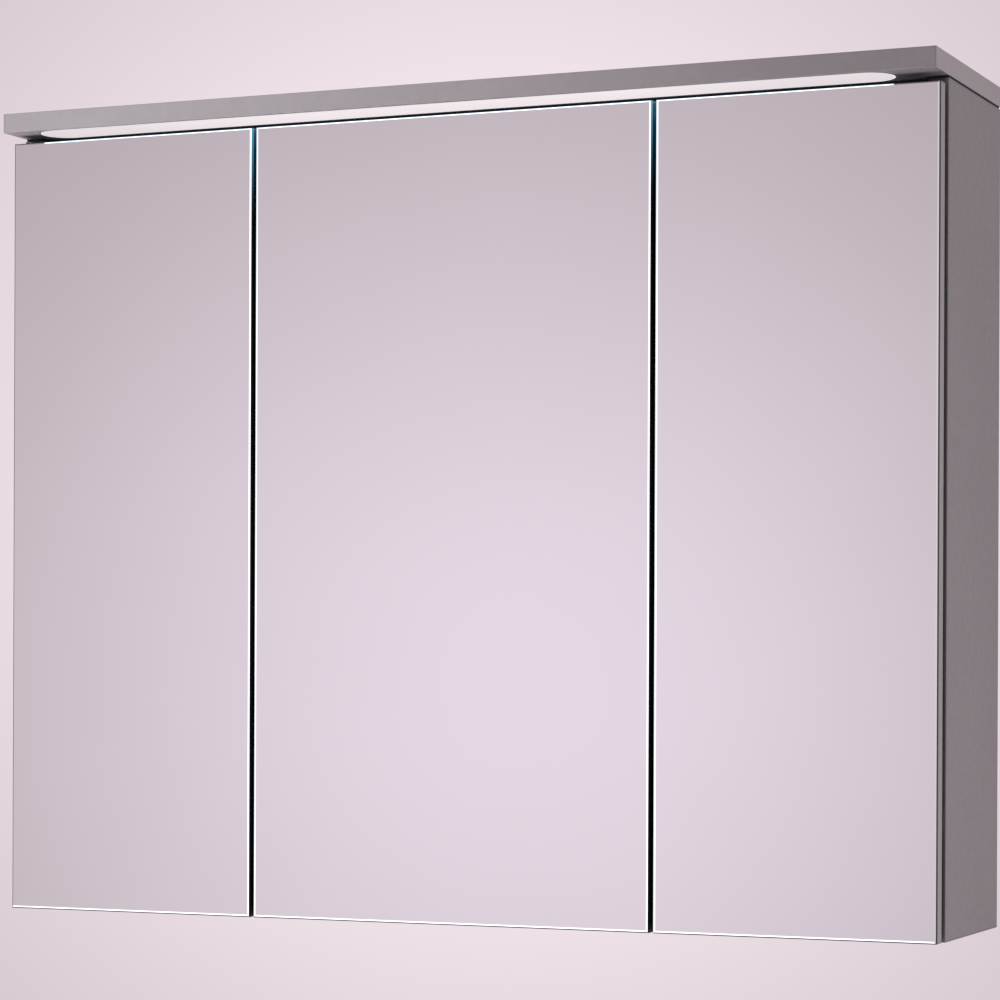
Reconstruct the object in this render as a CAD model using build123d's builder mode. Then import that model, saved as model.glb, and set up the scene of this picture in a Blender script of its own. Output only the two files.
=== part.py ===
from build123d import *
import os
from math import cos, radians, sin

# Three-door mirrored wall cabinet with a lit cornice, in millimetres.
# +X is right, +Z is up, the doors face -Y and the wall is the plane Y = 0.
# The origin is on the wall plane, midway between the two wall-fixing holes.

# driving dimensions
cabinet_width = 800
carcass_height = 647
carcass_depth = 155
board = 16
shadow_joint = 2
cornice_depth = 191
fixing_drop = 46  # from the carcass top down to the wall-fixing holes
fixing_spacing = 640

door_board = 12
mirror_thickness = 4
mirror_arris = 1.4
door_gap_behind = 5  # room to press a door in and release its latch
door_gap_between = 4
door_gap_side = 1.6
door_gap_top = 7
centre_door_width = 341.2

back_thickness = 3
rail_height = 60
groove_depth = 6
shelf_thickness = 5
shelf_depth = 118
shelf_heights = (200, 400)  # above the bottom panel's top face
shelf_side_gap = 1
shelf_corner = 4
shelf_arris = 0.6
pin_radius = 2.5
pin_depth = 7
pin_reach = 7
pin_collar_radius = 3.9
pin_collar_length = 1
pin_pitch = 32
edge_round = 0.8

# hinges, measured inwards (u) from a door's edge and forwards (v) from its back
cup_radius = 13
cup_wall = 0.8
cup_depth = 10.5
cup_inset = 4
hinge_pin_u = 9
hinge_pin_v = 7.2
hinge_pin_radius = 1.2
knuckle_radius = 2.2
running_gap = 0.05
arm_thickness = 2.4
arm_width = 7.8
arm_run_u = 20.4
arm_length = 50
crank_start_v = -8  # where the centre door's arms step sideways to their plates
crank_end_v = -14
plate_thickness = 4.8
hinge_inset = 90  # from a door's top and bottom edges

# lamp in the underside of the cornice, and the low-voltage lead that feeds it
lamp_length = 738
lamp_width = 42
lamp_x = -6.5  # the lamp sits a little left of the middle
lamp_set_back = 2.5
lamp_height = 10
tray_wall = 1
lens_thickness = 2.5
led_pitch = 11.5
led_count = 60
lead_radius = 1.9
lead_bend = 6
lead_channel_half = 3
lead_channel_height = 8
lead_hole_radius = 4

# push latches
latch_width = 11
latch_height = 14
latch_length = 55
plunger_radius = 4
plunger_length = 36
latch_travel = 3
latch_screw_places = (44, 52)  # behind the carcass front
latch_screw_head = 2.8
latch_screw_head_height = 1.4
plunger_tip_gap = 0.4
plunger_round = 1.2

# electrics box
box_width = 160
box_height = 46
box_depth = 48
box_wall = 2
cover_thickness = 2.5

# derived planes and positions
half_width = cabinet_width / 2
top_z = fixing_drop
bottom_z = top_z - carcass_height
cornice_z = top_z + shadow_joint
inner_top_z = top_z - board
inner_bottom_z = bottom_z + board
inner_x = half_width - board
back_front_y = -(board + back_thickness)
back_rear_y = -board
door_back_y = -(carcass_depth + door_gap_behind)
mirror_back_y = door_back_y - door_board
mirror_front_y = mirror_back_y - mirror_thickness
door_top_z = cornice_z - door_gap_top
divider_x = centre_door_width / 2 + door_gap_between / 2
lamp_y = -cornice_depth + lamp_set_back + lamp_width / 2
lamp_rear_y = lamp_y + lamp_width / 2
top_panel_front_y = lamp_rear_y + 4
lead_y = back_front_y - box_depth / 2
lead_channel_x = (-lead_channel_half, lead_channel_half)
lead_channel_y = (lamp_rear_y - 2 * tray_wall, lead_y + lead_channel_half)
hinge_heights = (bottom_z + hinge_inset, door_top_z - hinge_inset)
shelf_levels = tuple(inner_bottom_z + height for height in shelf_heights)
shelf_back_y = back_front_y - 2
pin_rows_y = (shelf_back_y - 22, shelf_back_y - shelf_depth + 22)
latch_z = (shelf_levels[0] + shelf_levels[1]) / 2

door_edge = half_width - door_gap_side
side_door_width = door_edge - centre_door_width / 2 - door_gap_between

# name: (left edge, right edge, which side the hinges are on)
doors = {
    "left": (-door_edge, -door_edge + side_door_width, -1),
    "centre": (-centre_door_width / 2, centre_door_width / 2, -1),
    "right": (door_edge - side_door_width, door_edge, 1),
}
# the panel face that carries each door's hinges, and the one that carries its latch
hinge_faces = {"left": -inner_x, "centre": -divider_x + board / 2, "right": inner_x}
latch_faces = {
    "left": (-divider_x - board / 2, -1),
    "centre": (divider_x - board / 2, -1),
    "right": (divider_x + board / 2, 1),
}
compartments = {
    "left": (-inner_x, -divider_x - board / 2),
    "centre": (-divider_x + board / 2, divider_x - board / 2),
    "right": (divider_x + board / 2, inner_x),
}

os.makedirs("parts", exist_ok=True)


# helpers
def save(builder, name):
    """Label a finished piece and write its STEP file."""
    builder.part.label = name
    export_step(builder.part, f"parts/{name}.step")


def block(x, y, z, mode=Mode.ADD):
    """A box between two values of each coordinate, in the active part."""
    centre = (sum(x) / 2, sum(y) / 2, sum(z) / 2)
    with Locations(centre):
        Box(abs(x[1] - x[0]), abs(y[1] - y[0]), abs(z[1] - z[0]), mode=mode)


def rods(points, radius, length, direction, mode=Mode.ADD):
    """Cylinders that start at the points and run the same way."""
    starts = [Plane(origin=point, z_dir=direction) for point in points]
    with Locations(*starts):
        Cylinder(radius, length, align=(Align.CENTER, Align.CENTER, Align.MIN), mode=mode)


def hinge_x(name, u):
    """The x of a point u inwards from the hinged edge of a door."""
    left, right, side = doors[name]
    return right - u if side > 0 else left + u


def hinge_y(v):
    """The y of a point v forwards from the doors' back plane."""
    return door_back_y - v


def plate_run(name):
    """The u where a door's mounting plates start and end."""
    start = abs(hinge_x(name, 0) - hinge_faces[name])
    return start, start + plate_thickness


def shelf_pin_points(face_x, levels):
    """Places of the pin holes on one panel face."""
    return [(face_x, y, z) for y in pin_rows_y for z in levels]


pin_levels = [level - pin_radius for level in shelf_levels]
hole_levels = [level + step * pin_pitch for level in pin_levels for step in (-1, 0, 1)]

# joints between the boards
cam_radius = 7.5
cam_depth = 12.5
cam_inset = 24
cam_slot_length = 9
cam_slot_width = 1.8
cam_slot_depth = 2
bolt_radius = 3.2
bolt_in_side = 10
dowel_radius = 4
dowel_half = 11
dowel_in_side = 9
joint_rows_y = (-38, -118)
dowel_rows_y = (-62, -94)
screw_radius = 2.5
screw_length = 50
screw_head_radius = 4.5
screw_head_height = 3
screw_socket = 2.4
screw_socket_depth = 2
small_screw_radius = 1.6
small_screw_length = 11
small_head_radius = 3.2
small_head_height = 1.8
driver_slot = 0.8  # width of the cross cut in a screw's head
driver_depth = 0.8
driver_length = 3.5
plate_screw_rise = 11
plate_screw_v = -34
clamp_screw_v = -24
clamp_head_radius = 3.4
clamp_head_height = 2
plate_front_v = -12
plate_half_height = 6
plate_ear_half_height = 18
plate_ear_half_depth = 7

shelf_joint_levels = {"bottom": bottom_z + board / 2, "top": top_z - board / 2}


def side_dowels(side):
    """Start points of the dowels that lie half in a side panel."""
    start = side * (inner_x + dowel_in_side)
    return [(start, y, z) for y in dowel_rows_y for z in shelf_joint_levels.values()]


def side_bolts(side):
    """Start points of the cam bolts, in the side panel."""
    start = side * (inner_x + bolt_in_side)
    return [(start, y, z) for y in joint_rows_y for z in shelf_joint_levels.values()]


def cam_points(level, side):
    """Centres of the cam housings of one panel, on its inner face."""
    face = inner_bottom_z if level == "bottom" else inner_top_z
    return [(side * (inner_x - cam_inset), y, face) for y in joint_rows_y]


def hinge_plate_screws(name):
    """Start points of the screws that hold a door's mounting plates."""
    x = hinge_faces[name]
    y = hinge_y(plate_screw_v)
    return [(x, y, z + rise) for z in hinge_heights for rise in (-plate_screw_rise, plate_screw_rise)]


def latch_middle_x(name):
    """The x of a latch's own centre line."""
    face_x, way = latch_faces[name]
    return face_x + way * latch_width / 2


def latch_screws(name):
    """Start points of the screws that hold a latch body."""
    x = latch_faces[name][0]
    return [(x, -carcass_depth + along, latch_z) for along in latch_screw_places]


# side panels
for side_name, side in (("left", -1), ("right", 1)):
    with BuildPart() as side_panel:
        with BuildSketch(Plane.XY.offset(bottom_z)):
            with Locations((side * (inner_x + board / 2), -carcass_depth / 2)):
                Rectangle(board, carcass_depth)
        extrude(amount=carcass_height)
        outer_edges = side_panel.edges().filter_by(Axis.Z).group_by(Axis.Y)[0]
        fillet(outer_edges, radius=edge_round)
        block(
            (side * inner_x, side * (inner_x + groove_depth)),
            (back_rear_y, back_front_y),
            (inner_bottom_z - groove_depth, inner_top_z + groove_depth),
            mode=Mode.SUBTRACT,
        )
        outwards = (side, 0, 0)
        inwards = (-side, 0, 0)
        pin_holes = shelf_pin_points(side * inner_x, hole_levels)
        rods(pin_holes, pin_radius, pin_depth, outwards, mode=Mode.SUBTRACT)
        rods(side_dowels(side), dowel_radius, dowel_in_side, inwards, mode=Mode.SUBTRACT)
        rods(side_bolts(side), bolt_radius, bolt_in_side, inwards, mode=Mode.SUBTRACT)
        screws = hinge_plate_screws(side_name)
        rods(screws, small_screw_radius, small_screw_length, outwards, mode=Mode.SUBTRACT)
    save(side_panel, f"side_panel_{side_name}")

# bottom and top panels
for level, z_low, front_y in (
    ("bottom", bottom_z, -carcass_depth),
    ("top", inner_top_z, top_panel_front_y),
):
    with BuildPart() as panel:
        block((-inner_x, inner_x), (front_y, 0), (z_low, z_low + board))
        if level == "bottom":
            fillet(panel.edges().filter_by(Axis.X).group_by(Axis.Y)[0], radius=edge_round)
            face_z, into_board = inner_bottom_z, -1
        else:
            face_z, into_board = inner_top_z, 1
        block(
            (-inner_x, inner_x),
            (back_rear_y, back_front_y),
            (face_z, face_z + into_board * groove_depth),
            mode=Mode.SUBTRACT,
        )
        for side in (-1, 1):
            middle_z = shelf_joint_levels[level]
            dowel_starts = [(side * inner_x, y, middle_z) for y in dowel_rows_y]
            dowel_in_panel = 2 * dowel_half - dowel_in_side
            rods(dowel_starts, dowel_radius, dowel_in_panel, (-side, 0, 0), mode=Mode.SUBTRACT)
            bolt_starts = [(side * inner_x, y, middle_z) for y in joint_rows_y]
            rods(bolt_starts, bolt_radius, cam_inset, (-side, 0, 0), mode=Mode.SUBTRACT)
            rods(cam_points(level, side), cam_radius, cam_depth, (0, 0, into_board), mode=Mode.SUBTRACT)
            outer_z = face_z + into_board * board
            screw_starts = [(side * divider_x, y, outer_z) for y in joint_rows_y]
            rods(screw_starts, screw_radius, board, (0, 0, -into_board), mode=Mode.SUBTRACT)
            rods(screw_starts, screw_head_radius, screw_head_height, (0, 0, -into_board), mode=Mode.SUBTRACT)
            dowel_holes = [(side * divider_x, y, face_z) for y in dowel_rows_y]
            rods(dowel_holes, dowel_radius, dowel_half, (0, 0, into_board), mode=Mode.SUBTRACT)
        if level == "top":
            lead_hole = [(0, lead_y, inner_top_z)]
            rods(lead_hole, lead_hole_radius, board, (0, 0, 1), mode=Mode.SUBTRACT)
    save(panel, f"{level}_panel")

# dividers
for side_name, side in (("left", -1), ("right", 1)):
    with BuildPart() as divider:
        centre_x = side * divider_x
        faces = (centre_x - board / 2, centre_x + board / 2)
        block(faces, (-carcass_depth, back_front_y), (inner_bottom_z, inner_top_z))
        front_edges = divider.edges().filter_by(Axis.Z).group_by(Axis.Y)[0]
        fillet(front_edges, radius=edge_round)
        for face_x, way in ((faces[0], 1), (faces[1], -1)):
            into = (way, 0, 0)
            rods(shelf_pin_points(face_x, hole_levels), pin_radius, pin_depth, into, mode=Mode.SUBTRACT)
        for end_z, into_end in ((inner_bottom_z, 1), (inner_top_z, -1)):
            dowel_holes = [(centre_x, y, end_z) for y in dowel_rows_y]
            rods(dowel_holes, dowel_radius, dowel_half, (0, 0, into_end), mode=Mode.SUBTRACT)
            screw_holes = [(centre_x, y, end_z) for y in joint_rows_y]
            rods(screw_holes, screw_radius, screw_length - board, (0, 0, into_end), mode=Mode.SUBTRACT)
        if side < 0:
            screws = hinge_plate_screws("centre")
            rods(screws, small_screw_radius, small_screw_length, (-1, 0, 0), mode=Mode.SUBTRACT)
            rods(latch_screws("left"), small_screw_radius, pin_depth, (1, 0, 0), mode=Mode.SUBTRACT)
        else:
            rods(latch_screws("centre"), small_screw_radius, pin_depth, (1, 0, 0), mode=Mode.SUBTRACT)
            rods(latch_screws("right"), small_screw_radius, pin_depth, (-1, 0, 0), mode=Mode.SUBTRACT)
    save(divider, f"divider_{side_name}")

# back panel and wall rails
cable_x = 40
cable_z = 6
cable_radius = 4.5
grommet_radius = 7
grommet_lip = 2
bush_radius = 5
bush_bore = 3
bush_flange = 8
bush_flange_thickness = 1.5
fixing_x = fixing_spacing / 2
fixing_points = [(-fixing_x, 0, 0), (fixing_x, 0, 0)]

with BuildPart() as back_panel:
    reach_x = inner_x + groove_depth
    reach_z = (inner_bottom_z - groove_depth, inner_top_z + groove_depth)
    block((-reach_x, reach_x), (back_front_y, back_rear_y), reach_z)
    rods(fixing_points, bush_radius, board + back_thickness, (0, -1, 0), mode=Mode.SUBTRACT)
    rods([(cable_x, 0, cable_z)], grommet_radius, board + back_thickness, (0, -1, 0), mode=Mode.SUBTRACT)
save(back_panel, "back_panel")

for rail_name, z_low in (("top", inner_top_z - rail_height), ("bottom", inner_bottom_z)):
    with BuildPart() as rail:
        block((-inner_x, inner_x), (back_rear_y, 0), (z_low, z_low + rail_height))
        if rail_name == "top":
            rods(fixing_points, bush_radius, board, (0, -1, 0), mode=Mode.SUBTRACT)
            rods([(cable_x, 0, cable_z)], grommet_radius, board, (0, -1, 0), mode=Mode.SUBTRACT)
    save(rail, f"{rail_name}_rail")

with BuildPart() as fixing_bushes:
    rods(fixing_points, bush_radius, board + back_thickness, (0, -1, 0))
    flange_starts = [(x, back_front_y, z) for x, _, z in fixing_points]
    rods(flange_starts, bush_flange, bush_flange_thickness, (0, -1, 0))
    bore_length = board + back_thickness + bush_flange_thickness
    rods(fixing_points, bush_bore, bore_length, (0, -1, 0), mode=Mode.SUBTRACT)
save(fixing_bushes, "fixing_bushes")

# cornice and the shadow strip under it
with BuildPart() as cornice:
    block((-half_width, half_width), (-cornice_depth, 0), (cornice_z, cornice_z + board))
    front_corners = cornice.edges().filter_by(Axis.Z).group_by(Axis.Y)[0]
    fillet(front_corners, radius=edge_round)
    rims = cornice.faces().filter_by(Axis.Z).edges().filter_by(Axis.X).group_by(Axis.Y)[0]
    fillet(rims, radius=edge_round)
    with BuildSketch(Plane.XY.offset(cornice_z)):
        with Locations((lamp_x, lamp_y)):
            SlotOverall(lamp_length, lamp_width)
    extrude(amount=lamp_height, mode=Mode.SUBTRACT)
    block(lead_channel_x, lead_channel_y, (cornice_z, cornice_z + lead_channel_height), mode=Mode.SUBTRACT)
save(cornice, "cornice_board")

strip_inset = 1
with BuildPart() as shadow_strip:
    block(
        (-half_width + strip_inset, half_width - strip_inset),
        (top_panel_front_y + strip_inset, -strip_inset),
        (top_z, cornice_z),
    )
    for side in (-1, 1):
        block(
            (side * inner_x, side * (half_width - strip_inset)),
            (-carcass_depth + strip_inset, top_panel_front_y + strip_inset),
            (top_z, cornice_z),
        )
    rods([(0, lead_y, top_z)], lead_hole_radius, shadow_joint, (0, 0, 1), mode=Mode.SUBTRACT)
    block(lead_channel_x, lead_channel_y, (cornice_z - 0.5, cornice_z), mode=Mode.SUBTRACT)
save(shadow_strip, "shadow_strip")

# lamp
tray_base = 1.5
with BuildPart() as led_tray:
    with BuildSketch(Plane.XY.offset(cornice_z)):
        with Locations((lamp_x, lamp_y)):
            SlotOverall(lamp_length, lamp_width)
    extrude(amount=lamp_height)
    with BuildSketch(Plane.XY.offset(cornice_z)):
        with Locations((lamp_x, lamp_y)):
            SlotOverall(lamp_length - 2 * tray_wall, lamp_width - 2 * tray_wall)
    extrude(amount=lamp_height - tray_base, mode=Mode.SUBTRACT)
    lead_z = cornice_z + 5
    rods([(0, lamp_rear_y + 1, lead_z)], lead_radius + 0.1, 3, (0, -1, 0), mode=Mode.SUBTRACT)
save(led_tray, "led_tray")

with BuildPart() as led_lens:
    with BuildSketch(Plane.XY.offset(cornice_z)):
        with Locations((lamp_x, lamp_y)):
            SlotOverall(lamp_length - 2 * tray_wall, lamp_width - 2 * tray_wall)
    extrude(amount=lens_thickness)
save(led_lens, "led_lens")

strip_width = 14
strip_thickness = 1
chip_size = 3
chip_height = 0.8
strip_z = cornice_z + lamp_height - tray_base - strip_thickness
with BuildPart() as led_board:
    half_strip = led_pitch * led_count / 2
    strip_y = (lamp_y - strip_width / 2, lamp_y + strip_width / 2)
    block((lamp_x - half_strip, lamp_x + half_strip), strip_y, (strip_z, strip_z + strip_thickness))
save(led_board, "led_board")

with BuildPart() as led_chips:
    with Locations((lamp_x, lamp_y, strip_z - chip_height / 2)):
        with GridLocations(led_pitch, 1, led_count, 1):
            Box(chip_size, chip_size, chip_height)
save(led_chips, "led_chips")

# shelves and their pins
for name, (left, right) in compartments.items():
    with BuildPart() as shelves:
        width = right - left - 2 * shelf_side_gap
        for level in shelf_levels:
            with BuildSketch(Plane.XY.offset(level)):
                with Locations(((left + right) / 2, shelf_back_y - shelf_depth / 2)):
                    RectangleRounded(width, shelf_depth, shelf_corner)
            extrude(amount=shelf_thickness)
        chamfer(shelves.faces().filter_by(Axis.Z).edges(), length=shelf_arris)
    save(shelves, f"shelves_{name}")

with BuildPart() as shelf_pins:
    for left, right in compartments.values():
        for face_x, way in ((left, 1), (right, -1)):
            starts = shelf_pin_points(face_x - way * pin_depth, pin_levels)
            rods(starts, pin_radius, pin_depth + pin_reach, (way, 0, 0))
            collars = shelf_pin_points(face_x, pin_levels)
            rods(collars, pin_collar_radius, pin_collar_length, (way, 0, 0))
    # the collars are cut flat where a shelf lies over them
    for level in shelf_levels:
        above = (level, level + pin_collar_radius)
        block((-inner_x, inner_x), (-carcass_depth, 0), above, mode=Mode.SUBTRACT)
save(shelf_pins, "shelf_pins")

# board fasteners
with BuildPart() as cam_housings:
    for side in (-1, 1):
        for level, into_board in (("bottom", -1), ("top", 1)):
            points = cam_points(level, side)
            rods(points, cam_radius, cam_depth, (0, 0, into_board))
            slots = [(x, y, z + into_board * cam_slot_depth / 2) for x, y, z in points]
            with Locations(*slots):
                Box(cam_slot_length, cam_slot_width, cam_slot_depth, mode=Mode.SUBTRACT)
                Box(cam_slot_width, cam_slot_length, cam_slot_depth, mode=Mode.SUBTRACT)
save(cam_housings, "cam_housings")

with BuildPart() as cam_bolts:
    for side in (-1, 1):
        rods(side_bolts(side), bolt_radius, bolt_in_side + cam_inset - cam_radius, (-side, 0, 0))
    for side in (-1, 1):
        for level, into_board in (("bottom", -1), ("top", 1)):
            rods(cam_points(level, side), cam_radius, cam_depth, (0, 0, into_board), mode=Mode.SUBTRACT)
save(cam_bolts, "cam_bolts")

with BuildPart() as dowels:
    for side in (-1, 1):
        rods(side_dowels(side), dowel_radius, 2 * dowel_half, (-side, 0, 0))
        for face_z, into_board in ((inner_bottom_z, -1), (inner_top_z, 1)):
            starts = [(side * divider_x, y, face_z + into_board * dowel_half) for y in dowel_rows_y]
            rods(starts, dowel_radius, 2 * dowel_half, (0, 0, -into_board))
save(dowels, "dowels")

with BuildPart() as divider_screws:
    for side in (-1, 1):
        for outer_z, into_board in ((bottom_z, 1), (top_z, -1)):
            starts = [(side * divider_x, y, outer_z) for y in joint_rows_y]
            rods(starts, screw_radius, screw_length, (0, 0, into_board))
            rods(starts, screw_head_radius, screw_head_height, (0, 0, into_board))
            with Locations(*starts):
                Box(screw_socket, screw_socket, 2 * screw_socket_depth, mode=Mode.SUBTRACT)
save(divider_screws, "divider_screws")

# hinges: plates, arms and screws on the carcass
with BuildPart() as hinge_plates:
    for name in doors:
        start, end = plate_run(name)
        x_run = (hinge_x(name, start), hinge_x(name, end))
        for z in hinge_heights:
            rail_y = (hinge_y(plate_front_v), hinge_y(-arm_length))
            block(x_run, rail_y, (z - plate_half_height, z + plate_half_height))
            ear_y = [hinge_y(plate_screw_v + way * plate_ear_half_depth) for way in (-1, 1)]
            block(x_run, ear_y, (z - plate_ear_half_height, z + plate_ear_half_height))
            screw_x = hinge_x(name, start)
            into = (1 if hinge_x(name, end) > screw_x else -1, 0, 0)
            rises = (-plate_screw_rise, plate_screw_rise)
            points = [(screw_x, hinge_y(plate_screw_v), z + rise) for rise in rises]
            rods(points, small_screw_radius, plate_thickness, into, mode=Mode.SUBTRACT)
            tops = [(hinge_x(name, end), y, level) for _, y, level in points]
            rods(tops, small_head_radius, clamp_head_height, (-into[0], 0, 0), mode=Mode.SUBTRACT)
            arm_hole = [(screw_x, hinge_y(clamp_screw_v), z)]
            rods(arm_hole, small_screw_radius, plate_thickness, into, mode=Mode.SUBTRACT)
save(hinge_plates, "hinge_plates")

with BuildPart() as hinge_arms:
    for name in doors:
        seat_u = plate_run(name)[1] + arm_thickness / 2
        route = [(hinge_pin_u, hinge_pin_v), (arm_run_u, hinge_pin_v)]
        if abs(seat_u - arm_run_u) < arm_thickness:
            route += [(arm_run_u, -arm_length)]
        else:
            route += [(arm_run_u, crank_start_v), (seat_u, crank_end_v), (seat_u, -arm_length)]
        corners = [(hinge_x(name, u), hinge_y(v)) for u, v in route]
        for z in hinge_heights:
            with BuildSketch(Plane.XY.offset(z - arm_width / 2)):
                with BuildLine():
                    FilletPolyline(*corners, radius=arm_thickness)
                trace(line_width=arm_thickness)
                with Locations(corners[0]):
                    Circle(knuckle_radius)
                    Circle(hinge_pin_radius + running_gap, mode=Mode.SUBTRACT)
            extrude(amount=arm_width)
            toward = 1 if hinge_x(name, 1) > hinge_x(name, 0) else -1
            screw_start = [(hinge_x(name, seat_u - arm_thickness), hinge_y(clamp_screw_v), z)]
            rods(screw_start, small_screw_radius, 2 * arm_thickness, (toward, 0, 0), mode=Mode.SUBTRACT)
save(hinge_arms, "hinge_arms")

with BuildPart() as hinge_screws:
    for name in doors:
        toward = 1 if hinge_x(name, 1) > hinge_x(name, 0) else -1
        start, end = plate_run(name)
        for z in hinge_heights:
            # clamping screw through the arm into its plate
            low = [(hinge_x(name, start), hinge_y(clamp_screw_v), z)]
            rods(low, small_screw_radius, plate_thickness + arm_thickness, (toward, 0, 0))
            head = [(hinge_x(name, end + arm_thickness), hinge_y(clamp_screw_v), z)]
            rods(head, clamp_head_radius, clamp_head_height, (toward, 0, 0))
            slot = (hinge_x(name, end + arm_thickness + clamp_head_height), hinge_y(clamp_screw_v), z)
            with Locations(slot):
                Box(2 * driver_depth, driver_slot, driver_length, mode=Mode.SUBTRACT)
                Box(2 * driver_depth, driver_length, driver_slot, mode=Mode.SUBTRACT)
        # wood screws through the plate's ears into the panel
        ends = [(x - toward * small_screw_length, y, z) for x, y, z in hinge_plate_screws(name)]
        seat = plate_thickness - clamp_head_height
        rods(ends, small_screw_radius, small_screw_length + seat, (toward, 0, 0))
        heads = [(x + toward * seat, y, z) for x, y, z in hinge_plate_screws(name)]
        rods(heads, small_head_radius, small_head_height, (toward, 0, 0))
        crosses = [(x + toward * small_head_height, y, z) for x, y, z in heads]
        with Locations(*crosses):
            Box(2 * driver_depth, driver_slot, driver_length, mode=Mode.SUBTRACT)
            Box(2 * driver_depth, driver_length, driver_slot, mode=Mode.SUBTRACT)
save(hinge_screws, "hinge_screws")

# push latches
plunger_tip_y = door_back_y + plunger_tip_gap
latch_hole_length = -carcass_depth - plunger_tip_y + plunger_length + latch_travel + 1
with BuildPart() as latch_bodies:
    for name, (face_x, way) in latch_faces.items():
        block(
            (face_x, face_x + way * latch_width),
            (-carcass_depth, -carcass_depth + latch_length),
            (latch_z - latch_height / 2, latch_z + latch_height / 2),
        )
        outer_x = face_x + way * latch_width
        fillet(latch_bodies.edges().filter_by(Axis.Y).filter_by_position(Axis.X, outer_x, outer_x), radius=2)
        hole = [(latch_middle_x(name), -carcass_depth, latch_z)]
        rods(hole, plunger_radius + running_gap, latch_hole_length, (0, 1, 0), mode=Mode.SUBTRACT)
        rods(latch_screws(name), small_screw_radius, latch_width, (way, 0, 0), mode=Mode.SUBTRACT)
save(latch_bodies, "latch_bodies")

for name in latch_faces:
    with BuildPart() as plunger:
        rods([(latch_middle_x(name), plunger_tip_y, latch_z)], plunger_radius, plunger_length, (0, 1, 0))
        fillet(plunger.faces().sort_by(Axis.Y)[0].edges(), radius=plunger_round)
    save(plunger, f"latch_plunger_{name}")

with BuildPart() as latch_screw_group:
    for name, (face_x, way) in latch_faces.items():
        starts = [(x - way * pin_depth, y, z) for x, y, z in latch_screws(name)]
        rods(starts, small_screw_radius, pin_depth + latch_width, (way, 0, 0))
        heads = [(x + way * latch_width, y, z) for x, y, z in latch_screws(name)]
        rods(heads, latch_screw_head, latch_screw_head_height, (way, 0, 0))
        crosses = [(x + way * latch_screw_head_height, y, z) for x, y, z in heads]
        with Locations(*crosses):
            Box(2 * driver_depth, driver_slot, driver_length, mode=Mode.SUBTRACT)
            Box(2 * driver_depth, driver_length, driver_slot, mode=Mode.SUBTRACT)
save(latch_screw_group, "latch_screws")

# electrics box
box_x = (-box_width / 2, box_width / 2)
box_z = (inner_top_z - box_height, inner_top_z)
box_front_y = back_front_y - box_depth
middle_box_z = sum(box_z) / 2
box_round = 3
cover_chamfer = 0.8
switch_x = -52
switch_size = (26, 15)
switch_wall = 1.6
switch_proud = 0.8
switch_depth = 12
socket_x = 34
socket_radius = 17
socket_recess = 14.5
socket_recess_depth = 11
socket_depth = 15
contact_spacing = 19
contact_radius = 2.6

with BuildPart() as electrics_box:
    block(box_x, (box_front_y, back_front_y), box_z)
    fillet(electrics_box.edges().filter_by(Axis.Y), radius=box_round)
    inner_box_x = (box_x[0] + box_wall, box_x[1] - box_wall)
    inner_box_z = (box_z[0] + box_wall, box_z[1] - box_wall)
    block(inner_box_x, (box_front_y, back_front_y - box_wall), inner_box_z, mode=Mode.SUBTRACT)
    rods([(cable_x, back_front_y, cable_z)], grommet_radius, box_wall, (0, -1, 0), mode=Mode.SUBTRACT)
    rods([(0, lead_y, inner_top_z - box_wall)], lead_radius + 0.1, box_wall, (0, 0, 1), mode=Mode.SUBTRACT)
save(electrics_box, "electrics_box")

with BuildPart() as electrics_cover:
    cover_y = (box_front_y - cover_thickness, box_front_y)
    block(box_x, cover_y, box_z)
    fillet(electrics_cover.edges().filter_by(Axis.Y), radius=box_round)
    chamfer(electrics_cover.faces().sort_by(Axis.Y)[0].edges(), length=cover_chamfer)
    half_switch_x = switch_size[0] / 2
    half_switch_z = switch_size[1] / 2
    block(
        (switch_x - half_switch_x, switch_x + half_switch_x),
        cover_y,
        (middle_box_z - half_switch_z, middle_box_z + half_switch_z),
        mode=Mode.SUBTRACT,
    )
    socket_hole = [(socket_x, box_front_y, middle_box_z)]
    rods(socket_hole, socket_radius, cover_thickness, (0, -1, 0), mode=Mode.SUBTRACT)
save(electrics_cover, "electrics_cover")

with BuildPart() as socket_insert:
    front = (socket_x, box_front_y - cover_thickness, middle_box_z)
    rods([front], socket_radius, socket_depth, (0, 1, 0))
    rods([front], socket_recess, socket_recess_depth, (0, 1, 0), mode=Mode.SUBTRACT)
    contact_starts = [(socket_x + way * contact_spacing / 2, front[1], middle_box_z) for way in (-1, 1)]
    rods(contact_starts, contact_radius, socket_depth, (0, 1, 0), mode=Mode.SUBTRACT)
save(socket_insert, "socket_insert")

rocker_gap = 0.4
rocker_pin_radius = 1.2
rocker_tilt = 7
rocker_pivot_depth = 3
rocker_back = 2.4  # behind the pivot
rocker_middle = 5.4  # in front of the pivot, at the shallow V's root
rocker_lip = 6.2
rocker_end = 1
rocker_waist = 0.55  # of the half height, at the back
pivot_y = box_front_y + rocker_pivot_depth
with BuildPart() as switch_frame:
    frame_y = (box_front_y - cover_thickness - switch_proud, box_front_y + switch_depth)
    block(
        (switch_x - half_switch_x, switch_x + half_switch_x),
        frame_y,
        (middle_box_z - half_switch_z, middle_box_z + half_switch_z),
    )
    block(
        (switch_x - half_switch_x + switch_wall, switch_x + half_switch_x - switch_wall),
        (frame_y[0], frame_y[1] - switch_wall),
        (middle_box_z - half_switch_z + switch_wall, middle_box_z + half_switch_z - switch_wall),
        mode=Mode.SUBTRACT,
    )
    pivot_holes = [(switch_x - half_switch_x, pivot_y, middle_box_z)]
    rods(pivot_holes, rocker_pin_radius + running_gap, switch_size[0], (1, 0, 0), mode=Mode.SUBTRACT)
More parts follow.
